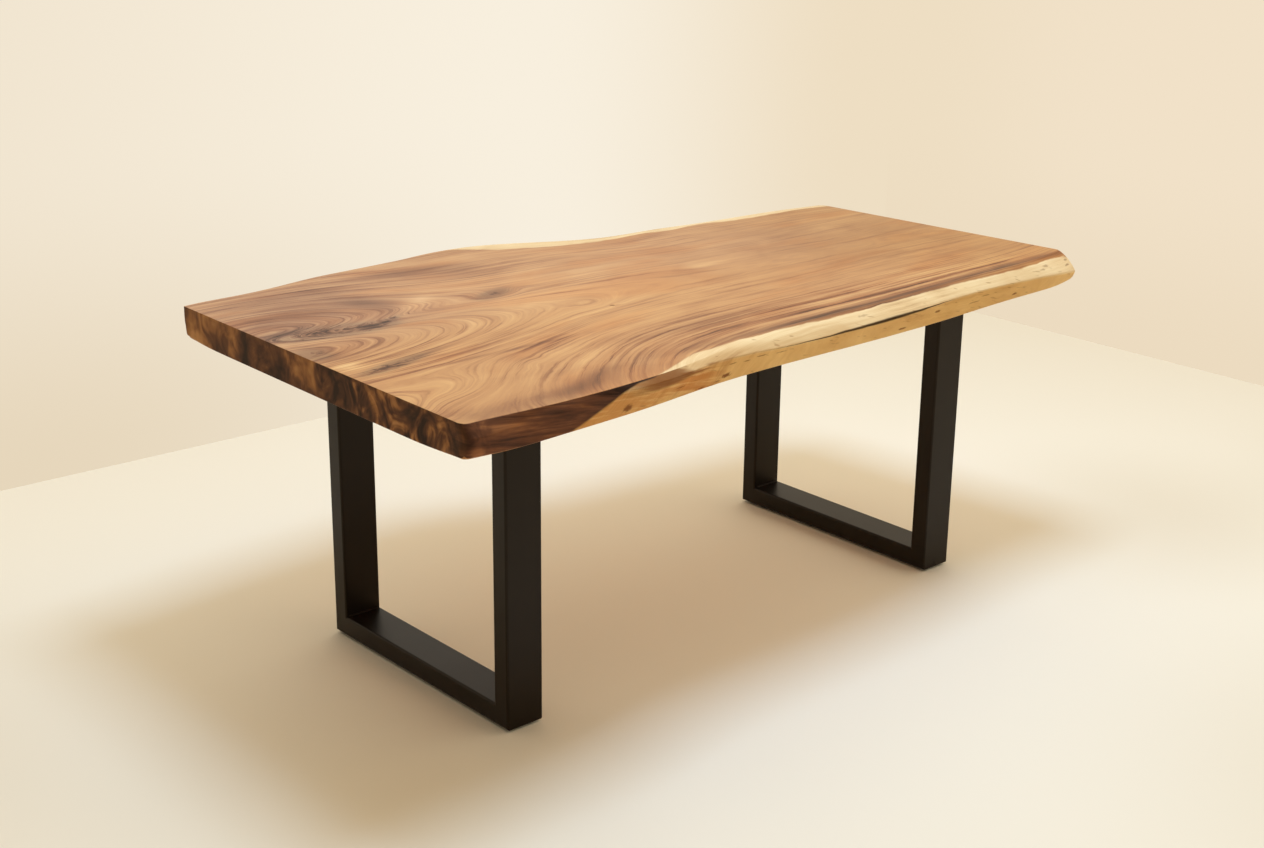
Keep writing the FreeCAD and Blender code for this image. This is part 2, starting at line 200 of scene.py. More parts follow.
floor_reach = 16.0
lines = np.linspace(-floor_reach, floor_reach, 9)
across, along = np.meshgrid(lines, lines)
number = np.arange(across.size).reshape(across.shape)
floor = new_piece("floor", np.stack([across, along, 0 * along], -1), [grid_faces(number)], floor_paint_and_shade)

wall_paint_and_shade, recipe = new_finish("wall_paint_and_shade")
spot = recipe.node("ShaderNodeTexCoord", out="Object")
x, y, z = (recipe.node("ShaderNodeSeparateXYZ", None, {0: spot}, out=axis) for axis in "XYZ")
# painted shade on the walls: the back wall darker towards its left end, near the floor on its left part and
# towards the corner; the right wall darker still, most of all away from the corner and near the floor
colour = recipe.mix(recipe.rise(x, 0.9, -1.6), paint(248, 239, 222), paint(239, 226, 204))
colour = recipe.mix(recipe.rise(x, 1.2, -1.0) * recipe.rise(z, 0.9, 0.0), colour, paint(230, 214, 187))
colour = recipe.mix(recipe.rise(x, 0.9, 2.4), colour, paint(238, 222, 195))
right_wall = recipe.rise(x, 2.58, 2.60)
colour = recipe.mix(right_wall * recipe.rise(y, 1.5, 0.6), colour, paint(241, 225, 200))
colour = recipe.mix(right_wall * recipe.rise(z, 0.7, 0.0), colour, paint(236, 219, 192))
glow = recipe.node("ShaderNodeEmission", None, {"Color": colour, "Strength": 1.0})
clear = recipe.node("ShaderNodeBsdfTransparent", None, {"Color": (1.0, 1.0, 1.0, 1.0)})
facing = 1.0 - recipe.node("ShaderNodeNewGeometry", out="Backfacing")
surface = recipe.node("ShaderNodeMixShader", None, {0: seen_directly(recipe) * facing, 1: clear, 2: glow})
recipe.node("ShaderNodeOutputMaterial", None, {"Surface": surface})

wall_line, wall_top = np.array([[-9.0, 1.76], [2.62, 1.58], [2.62, -9.0]]), 6.0
wall_points = np.stack([np.repeat(wall_line[:, 0], 2), np.repeat(wall_line[:, 1], 2),
                        np.tile([0.0, wall_top], len(wall_line))], -1)
number = np.arange(len(wall_points)).reshape(-1, 2)
walls = new_piece("walls", wall_points, [grid_faces(number)[:, ::-1]], wall_paint_and_shade, smooth=False)

world = bpy.data.worlds.new("room_light")
bpy.context.scene.world = world
world.use_nodes = True
recipe = Recipe(world.node_tree)
way = recipe.node("ShaderNodeTexCoord", out="Generated")
way_x, way_y = (recipe.node("ShaderNodeSeparateXYZ", None, {0: way}, out=axis) for axis in "XY")
# most light comes back from the right and from behind
level = 0.80 * (1.0 + way_x * 0.92 + way_y * 0.45)
bounced = recipe.node("ShaderNodeBackground", None, {"Color": (1.0, 0.87, 0.64, 1.0),
                                                     "Strength": level.at_least(0.15)})
shown = recipe.node("ShaderNodeBackground", None, {"Color": paint(244, 232, 210), "Strength": 1.0})
both = recipe.node("ShaderNodeMixShader", None, {0: seen_directly(recipe), 1: bounced, 2: shown})
recipe.node("ShaderNodeOutputWorld", None, {"Surface": both})

lamp = bpy.data.lights.new("overhead_lamp", "AREA")
lamp.shape, lamp.size, lamp.energy, lamp.color = "SQUARE", 1.05, 69.0, (0.52, 0.74, 1.0)
stand = bpy.data.objects.new("overhead_lamp", lamp)
stand.location = (0.12, -0.44, 3.55)
stand.rotation_euler = stand.location.to_track_quat("Z", "Y").to_euler()
bpy.context.scene.collection.objects.link(stand)

# in radians: to the right of +Y, down, and about the line of sight
camera_turn, camera_tilt, camera_roll = 0.72606, 0.32411, 0.01189
lens = bpy.data.cameras.new("camera")
lens.sensor_width, lens.lens = 36.0, 52.443
camera = bpy.data.objects.new("camera", lens)
camera.location = (-2.72273, -2.96113, 1.76976)
aim = (Matrix.Rotation(-camera_turn, 3, "Z") @ Matrix.Rotation(math.pi / 2 - camera_tilt, 3, "X")
       @ Matrix.Rotation(camera_roll, 3, "Z"))
camera.rotation_euler = aim.to_euler()
bpy.context.scene.collection.objects.link(camera)
bpy.context.scene.camera = camera
bpy.context.scene.view_settings.view_transform = "Standard"

# ---------------------------------------------------------------------------------------------------
# The slab: one plank of suar, sawn at both ends and planed on both faces, with its two bark edges left
# as they grew. It is sanded, eased along the edges and finished with a satin oil.
# ---------------------------------------------------------------------------------------------------

slab_low, slab_high = (np.array(corner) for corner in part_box("slab_top"))
thickness = slab_high[2] - slab_low[2]

# the triangles of the solid slab, which give the sawn ends and the bark edges
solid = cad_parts["slab_top"].data
corners = np.empty(len(solid.vertices) * 3)
solid.vertices.foreach_get("co", corners)
solid.calc_loop_triangles()
numbers = np.empty(len(solid.loop_triangles) * 3, dtype=int)
solid.loop_triangles.foreach_get("vertices", numbers)
triangles = corners.reshape(-1, 3)[numbers.reshape(-1, 3)]
middles = np.abs(triangles.mean(axis=1))
holes_x, holes_y = 0.8, 0.27                    # the holes for the inserts lie within these, and stay out
triangles = triangles[(middles[:, 0] > holes_x) | (middles[:, 1] > holes_y)]
facing = np.cross(triangles[:, 1] - triangles[:, 0], triangles[:, 2] - triangles[:, 0])
span = np.linalg.norm(facing, axis=1)
facing /= span[:, None]


def crosscut(sign):
    """The sawn end as x = start + lean * y, from the largest triangle that faces that way."""
    chosen = np.argmax(np.where(facing[:, 0] * sign > 0.9, span, 0))
    lean = -facing[chosen, 1] / facing[chosen, 0]
    return triangles[chosen, 0, 0] - lean * triangles[chosen, 0, 1], lean


station_x = np.linspace(slab_low[0], slab_high[0], 260)
level_z = np.linspace(slab_low[2], slab_high[2], 49)


def bell(count):
    """Weights that add up to 1: e to the minus square of even steps from -2 to 2."""
    weights = np.exp(-np.linspace(-2, 2, count) ** 2)
    return weights / weights.sum()


def side_table(sign):
    """y of one bark edge over a grid of stations and levels.

    Each grid point is looked up in the side's triangles, seen square on. Its y is the mean of the three
    corners, weighed by the areas that the point cuts the triangle into. A bell-shaped mean along x then
    takes the facets off.
    """
    side = triangles[(facing[:, 1] * sign > 0.1) & (np.abs(facing[:, 0]) < 0.9)]
    ax, ay, az = side[:, 0].T
    bx, by, bz = (side[:, 1] - side[:, 0]).T
    cx, cy, cz = (side[:, 2] - side[:, 0]).T
    area = bx * cz - cx * bz
    area = np.where(np.abs(area) < 1e-12, np.inf, area)
    reach = np.clip(station_x, side[..., 0].min() + 2e-4, side[..., 0].max() - 2e-4)[:, None]
    table = []
    for z in np.clip(level_z, slab_low[2] + 1e-5, slab_high[2] - 1e-5):
        u = ((reach - ax) * cz - cx * (z - az)) / area
        v = (bx * (z - az) - (reach - ax) * bz) / area
        best = np.argmax(np.minimum(np.minimum(u, v), 1 - u - v), axis=1)
        row = np.arange(len(station_x))
        table.append(ay[best] + u[row, best] * by[best] + v[row, best] * cy[best])
    table = np.array(table).T
    weights = bell(9)
    half = len(weights) // 2
    padded = np.pad(table, ((half, half), (0, 0)), mode="reflect", reflect_type="odd")
    return np.apply_along_axis(lambda line: np.convolve(line, weights, "valid"), 0, padded)


def looked_up(table, x, z):
    """The table's value at x and z, by shares of the four grid points round it."""
    i = np.clip((x - station_x[0]) / (station_x[1] - station_x[0]), 0, len(station_x) - 1.001)
    j = np.clip((z - level_z[0]) / (level_z[1] - level_z[0]), 0, len(level_z) - 1.001)
    i0, j0 = i.astype(int), j.astype(int)
    di, dj = i - i0, j - j0
    low = table[i0, j0] * (1 - dj) + table[i0, j0 + 1] * dj
    high = table[i0 + 1, j0] * (1 - dj) + table[i0 + 1, j0 + 1] * dj
    return low * (1 - di) + high * di


def ridge_level(table, sign):
    """Share of the thickness at which a bark edge stands out furthest, evened by a bell-shaped mean."""
    share = (level_z[np.argmax(table * sign, axis=1)] - slab_low[2]) / thickness
    weights = bell(13)
    return np.convolve(np.pad(share, len(weights) // 2, mode="edge"), weights, "valid")


def block_skin(rows_x, rows_y, rows_z):
    """The six faces of a block of cells: for every point on them its three row numbers, and the quads."""
    counts = (len(rows_x), len(rows_y), len(rows_z))
    number = np.arange(np.prod(counts)).reshape(counts)
    quads = []
    for axis in range(3):
        for end in (0, -1):
            face = number.take(end, axis=axis)
            cells = np.stack([face[:-1, :-1], face[1:, :-1], face[1:, 1:], face[:-1, 1:]], -1)
            cells = cells.reshape(-1, 4)
            quads.append(cells[:, ::-1] if (axis == 1) != (end == 0) else cells)
    used, quads = np.unique(np.concatenate(quads), return_inverse=True)
    i, j, k = np.unravel_index(used, counts)
    return rows_x[i], rows_y[j], rows_z[k], quads.reshape(-1, 4)


def rows_between(length, step, close_rows):
    """Shares from 0 to 1: the given distances in from both ends, and even steps in between."""
    close = np.array(close_rows) / length
    middle = np.linspace(close[-1], 1 - close[-1], int(round((length - 2 * close_rows[-1]) / step)) + 1)
    return np.concatenate([close[:-1], middle, 1 - close[:-1][::-1]])


def wander(points, waves, seed):
    """A smooth uneven height from -1 to 1: the mean of sine waves of given lengths, each a random way."""
    draw = np.random.default_rng(seed)
    total = 0.0
    for length in waves:
        direction = draw.normal(size=3)
        direction *= 2 * math.pi / (length * np.linalg.norm(direction))
        total = total + np.sin(points @ direction + draw.uniform(0, 2 * math.pi))
    return total / len(waves)


def eased(first, second, radius):
    """How far a point moves away from two walls, so that their corner becomes an arc.

    first and second are its distances from them. Inside the radius, the square line round the corner at
    the point's own depth is pulled on to the circle that touches it.
    """
    p, q = np.maximum(radius - first, 0), np.maximum(radius - second, 0)
    share = 1 - np.maximum(p, q) / np.maximum(np.hypot(p, q), 1e-9)
    return p * share, q * share


front_table, back_table = side_table(-1), side_table(1)
straighter = (0.004 * np.exp(-((station_x + 0.29) / 0.07) ** 2)
              - 0.012 * np.exp(-((station_x + 0.49) / 0.10) ** 2))
back_table += straighter[:, None]
front_ridge, back_ridge = ridge_level(front_table, -1), ridge_level(back_table, 1)
left_start, left_lean = crosscut(-1)
right_start, right_lean = crosscut(1)

# rows of points: shares of the way up, closer by the arrises and the ridge, then along and across
ridge_row = 0.66
near_ridge = np.array([-0.064, -0.043, -0.021, 0.0, 0.021, 0.043, 0.064]) + ridge_row
rows_up = np.concatenate([[0.0, 0.012, 0.026, 0.045, 0.09], np.linspace(0.14, 0.55, 8), near_ridge,
                          np.linspace(0.77, 0.93, 5), [0.96, 0.976, 0.989, 1.0]])
mean_length, mean_width = 1.87, 0.90
rows_along = rows_between(mean_length, 0.0062,
                          [0.0, 0.0007, 0.0015, 0.0024, 0.005, 0.008, 0.012, 0.017, 0.023])
rows_across = rows_between(mean_width, 0.0092, [0.0, 0.0007, 0.0015, 0.0024, 0.005, 0.009, 0.014, 0.020])
s, t, w, quads = block_skin(rows_along, rows_across, rows_up)


def side_point(table, ridge, sign):
    """y of the bark edge beside each point of the slab, and the share of the thickness at which it lies.

    x depends on y, because the crosscuts lean, so the edge is looked up again with each better x.
    """
    first_guess = 0.46 * sign
    y = np.full(len(s), first_guess)
    for _ in range(3):
        x = (left_start + left_lean * y) * (1 - s) + (right_start + right_lean * y) * s
        crest = np.interp(x, station_x, ridge)
        share = np.where(w < ridge_row, crest * w / ridge_row,
                         crest + (1 - crest) * (w - ridge_row) / (1 - ridge_row))
        y = looked_up(table, x, slab_low[2] + share * thickness)
    return y, share


front_y, front_share = side_point(front_table, front_ridge, -1)
back_y, back_share = side_point(back_table, back_ridge, 1)
y = front_y * (1 - t) + back_y * t
x = (left_start + left_lean * y) * (1 - s) + (right_start + right_lean * y) * s
z = slab_low[2] + thickness * (front_share * (1 - t) + back_share * t)

# what the growing tree and the sander left: slow hollows along the bark edges, and a ragged ridge
skin = np.stack([x, y * 0.2, z * 2.5], -1)
hollows = 0.0011 * wander(skin, [0.31, 0.17, 0.12, 0.09, 0.06], 4)
hollows = hollows + 0.0005 * wander(skin, [0.04, 0.03, 0.022], 9)
depth_front, depth_back = y - front_y, back_y - y
hollow_reach = 0.03                             # the depth in the slab over which a hollow fades
outward = np.exp(-depth_front / hollow_reach) - np.exp(-depth_back / hollow_reach)
y = y + hollows * outward * np.sin(math.pi * w) ** 0.5

# a drying crack runs just under the front ridge: a groove that tapers to nothing at both ends
crack_x, crack_drop = 0.21, 0.0015
past_ridge = z - slab_low[2] - thickness * np.interp(x, station_x, front_ridge)
groove = 0.0035 * np.exp(-((x - crack_x) / 0.12) ** 2 - ((past_ridge + crack_drop) / 0.0012) ** 2)
y = np.clip(y + groove * (t == 0), slab_low[1], slab_high[1])

from_left = s * (right_start - left_start)
from_right = (1 - s) * (right_start - left_start)
from_top, from_under = slab_high[2] - z, z - slab_low[2]
# what is eased: for each of the two walls the distance from it, its axis and the way in, then the radius
moves = [
    (from_left, 0, 1, depth_front, 1, 1, 0.017), (from_left, 0, 1, depth_back, 1, -1, 0.003),
    (from_right, 0, -1, depth_front, 1, 1, 0.012), (from_right, 0, -1, depth_back, 1, -1, 0.020),
    (depth_front, 1, 1, from_top, 2, -1, 0.0018), (depth_back, 1, -1, from_top, 2, -1, 0.0018),
    (depth_front, 1, 1, from_under, 2, 1, 0.0025 + 0.014 * np.exp(-(from_left / 0.10) ** 2)
     + 0.012 * np.exp(-(from_right / 0.06) ** 2)),
    (depth_back, 1, -1, from_under, 2, 1, 0.0025 + 0.010 * np.exp(-(from_left / 0.08) ** 2)),
    (from_left, 0, 1, from_top, 2, -1, 0.0014), (from_right, 0, -1, from_top, 2, -1, 0.0014),
    (from_left, 0, 1, from_under, 2, 1, 0.002 + 0.014 * np.exp(-(depth_front / 0.09) ** 2)
     + 0.010 * np.exp(-(depth_back / 0.07) ** 2)),
    (from_right, 0, -1, from_under, 2, 1, 0.002 + 0.012 * np.exp(-(depth_front / 0.06) ** 2)),
]
shift = np.zeros((len(s), 3))
for first, first_axis, first_way, second, second_axis, second_way, radius in moves:
    first_move, second_move = eased(first, second, radius)
    shift[:, first_axis] += first_way * first_move
    shift[:, second_axis] += second_way * second_move
points = np.stack([x, y, z], -1) + shift


def swell(points, x, y, long, wide, turn):
    """A smooth hill from 0 to 1 round x, y: e to the minus square of the distance in half sizes."""
    dx, dy = points[:, 0] - x, points[:, 1] - y
    c, s = math.cos(math.radians(turn)), math.sin(math.radians(turn))
    return np.exp(-((dx * c + dy * s) / long) ** 2 - ((dy * c - dx * s) / wide) ** 2)


def swells(rows):
    """The slab's hills added up. A row is x, y, half length, half width, turn in degrees, and height."""
    return sum(height * swell(points, *hill) for *hill, height in rows)


# where branches pushed the growth rings about
branches = [
    (-1.000, -0.015, 0.480, 0.150, 0, -0.210), (-0.900, 0.240, 0.300, 0.170, 0, -0.230),
    (-0.700, 0.112, 0.270, 0.045, 2, 0.085), (-0.950, -0.600, 0.340, 0.245, 0, -0.140),
    (-0.880, -0.350, 0.170, 0.080, 10, -0.060), (-0.975, -0.375, 0.045, 0.085, 0, -0.050),
    (-0.640, -0.330, 0.090, 0.034, 26, 0.012),
    (-0.600, -0.300, 0.020, 0.020, 30, -0.006), (-0.660, -0.345, 0.020, 0.020, 30, -0.006),
    (-0.800, 0.100, 0.120, 0.030, -12, 0.050), (-0.255, -0.050, 0.060, 0.050, 20, -0.018),
    (-0.226, -0.091, 0.016, 0.009, 20, 0.010), (-0.365, 0.140, 0.070, 0.035, 20, 0.025),
    (-0.300, 0.155, 0.030, 0.025, 0, -0.012), (0.350, 0.210, 0.330, 0.060, -6, 0.028),
    (0.650, 0.040, 0.330, 0.060, -3, 0.025), (0.200, 0.030, 0.200, 0.040, 0, 0.014),
    (0.600, -0.160, 0.330, 0.055, 2, 0.022),
]
arris_front = looked_up(front_table, points[:, 0], np.full(len(s), slab_high[2]))
arris_back = looked_up(back_table, points[:, 0], np.full(len(s), slab_high[2]))
near_front = np.exp(-(points[:, 1] - arris_front).clip(0) / 0.16)
near_back = np.exp(-(arris_back - points[:, 1]).clip(0) / 0.22)
from_heart = points[:, 1] + 0.015 - near_front * (arris_front + 0.45) - near_back * (arris_back - 0.42)
blunt = 0.12 + np.where(from_heart < 0, 0.10, 0.03) * (1 - np.tanh((points[:, 0] + 0.50) / 0.15))
rings = np.hypot(from_heart, blunt) - blunt + 0.12
rings = rings - 0.5 * (slab_high[2] - points[:, 2]) * np.tanh(from_heart / 0.15) + swells(branches)

# the pale sapwood under the bark: how far a point lies on its bark side, in metres
heart_x, heart_y = np.transpose([
    (-1.000, -0.700), (-0.700, -0.590), (-0.554, -0.539), (-0.512, -0.533), (-0.470, -0.517),
    (-0.432, -0.501), (-0.390, -0.483), (-0.345, -0.466), (-0.220, -0.452), (-0.093, -0.452),
    (0.161, -0.446), (0.414, -0.433), (0.540, -0.426), (0.744, -0.427), (0.912, -0.407), (1.000, -0.400),
])
heart_line = np.interp(points[:, 0], heart_x, heart_y)
lean = np.interp(points[:, 0], [-0.55, -0.40], [1.0, 0.2])
sap_front = heart_line + lean * (slab_high[2] - points[:, 2]) - points[:, 1]
back_x, back_width = np.transpose([
    (-1.00, -0.060), (-0.25, -0.030), (-0.17, 0.026), (-0.11, 0.060), (-0.02, 0.064), (0.06, 0.050),
    (0.15, 0.026), (0.90, 0.022),
])
patchy = 1 + 0.5 * wander(points * [1, 0.2, 1], [0.16, 0.09, 0.05], 3) * (points[:, 0] > 0.1)
sap_back = points[:, 1] - arris_back + np.interp(points[:, 0], back_x, back_width) * patchy
sap = np.maximum(sap_front, sap_back)

# darker places (below 0) and lighter ones
shades = [
    (-0.805, 0.112, 0.095, 0.030, -14, -0.14), (-0.720, 0.090, 0.045, 0.018, 0, -0.14),
    (-0.670, 0.108, 0.030, 0.007, 25, -0.12), (-0.900, 0.150, 0.040, 0.014, -10, -0.16),
    (-0.830, 0.260, 0.190, 0.110, 0, -0.15), (-0.630, 0.260, 0.050, 0.090, 20, -0.12),
    (-0.760, 0.400, 0.200, 0.060, -3, -0.14), (-0.430, 0.430, 0.170, 0.035, -6, -0.15),
    (-0.330, 0.380, 0.140, 0.050, -30, -0.08), (-0.370, 0.145, 0.065, 0.028, 20, -0.26),
    (-0.920, -0.010, 0.060, 0.060, 0, -0.12), (-0.850, -0.165, 0.080, 0.016, 14, -0.14),
    (-0.720, -0.130, 0.090, 0.009, 14, -0.16), (-0.620, -0.222, 0.210, 0.006, 0, -0.24),
    (-0.600, -0.465, 0.150, 0.026, 26, -0.14), (0.060, -0.432, 0.420, 0.018, 1, -0.26),
    (-0.120, -0.320, 0.280, 0.030, 0, -0.10), (0.720, -0.398, 0.320, 0.014, 2, -0.20),
    (-0.920, -0.500, 0.070, 0.040, 0, -0.10), (-0.550, 0.180, 0.070, 0.028, 42, 0.24),
    (-0.915, -0.118, 0.032, 0.024, 0, 0.36), (-0.870, 0.060, 0.050, 0.010, -5, 0.14),
    (-0.560, -0.350, 0.100, 0.022, 28, 0.10), (-0.860, -0.330, 0.130, 0.090, 10, 0.08),
    (0.180, 0.052, 0.070, 0.014, 5, 0.12), (-0.250, 0.040, 0.300, 0.150, 0, 0.06),
    (0.850, 0.000, 0.500, 0.500, 0, -0.08), (0.400, 0.050, 0.400, 0.350, 0, -0.08),
    (-0.500, 0.000, 0.200, 0.060, 0, 0.05), (-0.860, 0.010, 0.170, 0.150, 0, -0.06),
    (-0.840, 0.270, 0.220, 0.110, 0, -0.04), (-0.620, 0.200, 0.110, 0.160, 0, -0.09),
    (-0.560, 0.050, 0.160, 0.110, 0, -0.06), (-0.700, -0.505, 0.260, 0.045, 3, -0.14),
    (0.100, -0.380, 0.800, 0.070, 1, -0.10), (-0.200, -0.310, 0.260, 0.050, 0, -0.06),
    (-0.250, 0.400, 0.200, 0.080, 0, -0.06),
]
knots = [
    (-0.825, 0.113, 0.095, 0.036, -10, 1.0), (-0.720, 0.088, 0.045, 0.020, 0, 0.9),
    (-0.672, 0.107, 0.032, 0.007, 25, 0.8), (-0.850, -0.165, 0.080, 0.018, 14, 0.8),
    (-0.925, -0.010, 0.035, 0.050, 0, 0.3), (-0.370, 0.145, 0.060, 0.025, 20, 0.35),
]
# where the rings are drawn more boldly, or less so, on top of the contrast that grows to the left
bolder = [
    (0.280, -0.365, 0.850, 0.080, 0, 1.05), (0.500, 0.340, 0.800, 0.100, -3, 0.20),
    (-0.740, -0.360, 0.150, 0.090, 25, -0.60), (-0.900, -0.340, 0.090, 0.090, 0, -0.40),
    (-0.720, -0.480, 0.190, 0.065, 8, -0.62),
]
shade, knot = swells(shades), swells(knots)
figure = 0.48 + 0.66 * np.exp(-((points[:, 0] + 0.95) / 0.70) ** 2) + swells(bolder)
sawn = np.where((s == 0) | (s == 1), 1.0, 0.0)
live = np.where(((t == 0) | (t == 1)) & (w > 0) & (w < 1), 1.0, 0.0)

slab_finish, recipe = new_finish("oiled_suar")


def painted(name):
    """A value that the slab's mesh keeps for each of its points."""
    return recipe.node("ShaderNodeAttribute", {"attribute_name": name}, out="Fac")


spot = recipe.node("ShaderNodeTexCoord", out="Object")
x, y, z = (recipe.node("ShaderNodeSeparateXYZ", None, {0: spot}, out=axis) for axis in "XYZ")
sawn_end, bark_side = painted("sawn"), painted("live")
waver = recipe.noise(spot, 14.0, detail=3.0)
ring = painted("rings") + (waver - 0.5) * 0.007 + (recipe.noise(spot, 60.0, detail=2.0) - 0.5) * 0.0022
deep = y + z * 2.0
band = recipe.noise(recipe.place(ring * 30.0, x * 2.0, deep * 2.0), 1.0, detail=2.0)
streak = recipe.noise(recipe.place(ring * 110.0, x * 2.6, deep * 2.6), 1.0, detail=4.0, roughness=0.65)
line = recipe.noise(recipe.place(ring * 200.0, x * 2.4, deep * 2.4), 1.0, detail=1.0)
stripe = recipe.noise(recipe.place(ring * 62.0, x * 1.1, deep * 1.1), 1.0, detail=1.0)
fibre = recipe.noise(recipe.place(ring * 700.0, x * 16.0, deep * 16.0), 1.0, detail=2.0)
pore = recipe.noise(recipe.place(ring * 1500.0, x * 45.0, deep * 45.0), 1.0, detail=0.0)
cloud = recipe.noise(recipe.place(x * 5.0, y * 9.0, z * 9.0), 1.0, detail=3.0, distortion=0.8)

# heartwood: soft bands, fine lines along the rings and drifting patches, from umber to honey
strength, shaded = painted("figure"), painted("shade")
tone = (0.64 + (band - 0.5) * strength * 0.32 + (streak - 0.5) * strength * 0.72
        + (line - 0.5) * strength * 0.40 + (cloud - 0.5) * 0.30 + (fibre - 0.5) * 0.18
        + shaded * (0.55 + streak + (line - 0.5) * 1.5))
front_band = recipe.rise(strength, 0.75, 1.45) * recipe.rise(x, -0.50, 0.30, 0.3, 1.0)
tone = tone + (stripe - 0.5) * front_band
tone = tone - recipe.rise(streak, 0.42, 0.35) * strength * 0.12
tone = tone - recipe.rise(line, 0.40, 0.30) * strength * 0.08
swirl = recipe.noise(recipe.place(ring * 70.0, x * 26.0, y * 26.0), 1.0, detail=4.0, roughness=0.6,
                     distortion=1.4)
in_knot = painted("knot")
knot_tone = recipe.rise(in_knot * 0.7 + (swirl - 0.5) * 2.6, 0.25, 0.85) * recipe.rise(in_knot, 0.05, 0.35)
tone = tone - knot_tone * 0.34
heart_stops = [(0.0, paint(62, 42, 30)), (0.22, paint(120, 78, 53)), (0.42, paint(165, 112, 74)),
               (0.60, paint(194, 140, 92)), (0.80, paint(212, 160, 106)), (1.0, paint(229, 183, 126))]
heart = recipe.node("ShaderNodeValToRGB", {"stops": heart_stops}, {0: tone}, out=0)
heart = recipe.mix(front_band * recipe.rise(tone, 0.64, 0.40), heart, (1.07, 0.95, 0.86, 1.0), "MULTIPLY")
warm = recipe.rise(recipe.noise(recipe.place(ring * 12.0, x * 3.0, y * 3.0), 1.0, detail=2.0), 0.46, 0.70)
heart = recipe.mix(warm * 0.28, heart, paint(236, 176, 108), "MULTIPLY")
cool = (recipe.rise(x, -0.20, -0.75) * 0.5 + 0.5) * recipe.rise(y, -0.15, 0.20)
heart = recipe.mix(cool, heart, (1.0, 1.09, 1.38, 1.0), "MULTIPLY")
heart = recipe.mix(recipe.rise(x, 0.30, 0.85), heart, (1.05, 1.06, 0.92, 1.0), "MULTIPLY")
heart = recipe.mix(recipe.rise(in_knot - shaded, 0.04, 0.40) * 0.9, heart, paint(222, 234, 248), "MULTIPLY")

# the end grain and the heartwood on the bark side are dark, patchy and curled, and blended into each other
# round the corner: partly end grain that drinks more oil, partly painted shade, a darker copy of the
# heartwood on the faces that turn away from the top
thirsty_and_shaded = (sawn_end + bark_side * recipe.rise(x, -0.34, -0.52)).at_most(1.0)
patch = recipe.noise(recipe.place(y * 7.5, x * 7.5, z * 6.0), 1.0, detail=3.0, distortion=0.8)
curl = recipe.noise(recipe.place(y * 17.0, x * 17.0, z * 14.0), 1.0, detail=2.5, distortion=2.0)
side_grain = recipe.noise(recipe.place(x * 5.0, y * 5.0, z * 60.0 + x * 9.0), 1.0, detail=4.0,
                          roughness=0.65, distortion=0.4)
curled = recipe.rise(y, 0.10, -0.30) * 0.4 + 0.25
end_tone = (patch - 0.5) * (1.0 - curled) * 1.5 + (curl - 0.5) * curled * 1.7
end_tone = 0.51 + end_tone * recipe.rise(x, 0.1, -0.1, 0.45, 1.0) + (fibre - 0.5) * 0.10
side_tone = 0.550 + (side_grain - 0.5) * 0.7 + recipe.rise(x, -0.72, -0.55) * -0.17
end_share = (sawn_end * recipe.rise(y, -0.53, -0.47, 0.5, 1.0)
             + (1.0 - sawn_end) * recipe.rise(x, -0.88, -0.94, 0.0, 0.5))
# golden and dark stretches along the left end: their middles, reaches and amounts
stretches = [(0.003, 0.085, 0.13), (0.41, 0.10, 0.20), (0.13, 0.10, -0.11), (-0.12, 0.08, -0.10),
             (-0.28, 0.07, 0.10), (-0.38, 0.07, -0.09), (-0.48, 0.05, 0.08)]
golden = 0.0
for middle, reach, amount in stretches:
    golden = golden + recipe.rise(abs(y - middle), reach, 0.2 * reach) * amount
end_tone = end_tone + golden * sawn_end * recipe.rise(x, 0.1, -0.1)
dark_tone = end_share * end_tone + (1.0 - end_share) * side_tone + shaded * 0.12
dark_stops = [(0.33, paint(46, 29, 18)), (0.45, paint(79, 50, 32)), (0.55, paint(108, 69, 43)),
              (0.66, paint(156, 105, 62)), (0.80, paint(190, 136, 84))]
dark_heart = recipe.node("ShaderNodeValToRGB", {"stops": dark_stops}, {0: dark_tone}, out=0)
dark_heart = recipe.mix(bark_side, dark_heart, paint(248, 238, 246), "MULTIPLY")
# partly painted shade: these faces take the darker copy of the heartwood
heart = recipe.mix(thirsty_and_shaded, heart, dark_heart)

# sapwood: cream on the shoulder, tan by the ridge, a darker honey on the under face, partly stain under the
# bark and partly painted shade where the face turns down, and amber and umber where it meets the heart at
# the left
sap_tone = 0.55 + (streak - 0.5) * 0.9 + (cloud - 0.5) * 0.9 + (fibre - 0.5) * 0.5
sap_stops = [(0.0, paint(176, 129, 82)), (0.45, paint(226, 190, 140)), (1.0, paint(247, 220, 173))]
sapwood = recipe.node("ShaderNodeValToRGB", {"stops": sap_stops}, {0: sap_tone}, out=0)
under_ridge = painted("under_ridge")
under_face_stain_and_shade = recipe.rise(under_ridge, 0.001, -0.006) * bark_side
# partly painted shade: the under face below the ridge is made darker and more ochre
sapwood = recipe.mix(under_face_stain_and_shade * 0.85, sapwood, paint(244, 224, 180), "MULTIPLY")
low_shoulder = recipe.rise(under_ridge, 0.018, 0.006) * recipe.rise(under_ridge, -0.004, 0.001) * bark_side
low_shoulder = low_shoulder * recipe.rise(x, 0.35, -0.05)
sapwood = recipe.mix(low_shoulder * 0.8, sapwood, paint(226, 212, 194), "MULTIPLY")
left_part = recipe.rise(x, -0.40, -0.47)
amber = recipe.rise(x, -0.26, -0.36) * (1.0 - left_part * 0.30) * bark_side
amber = amber * recipe.rise(under_ridge - left_part * 0.05, 0.004, -0.008)
amber = amber * (recipe.rise(side_grain, 0.38, 0.54) * 0.85 + 0.12)
sapwood = recipe.mix(amber, sapwood, paint(224, 186, 150), "MULTIPLY")
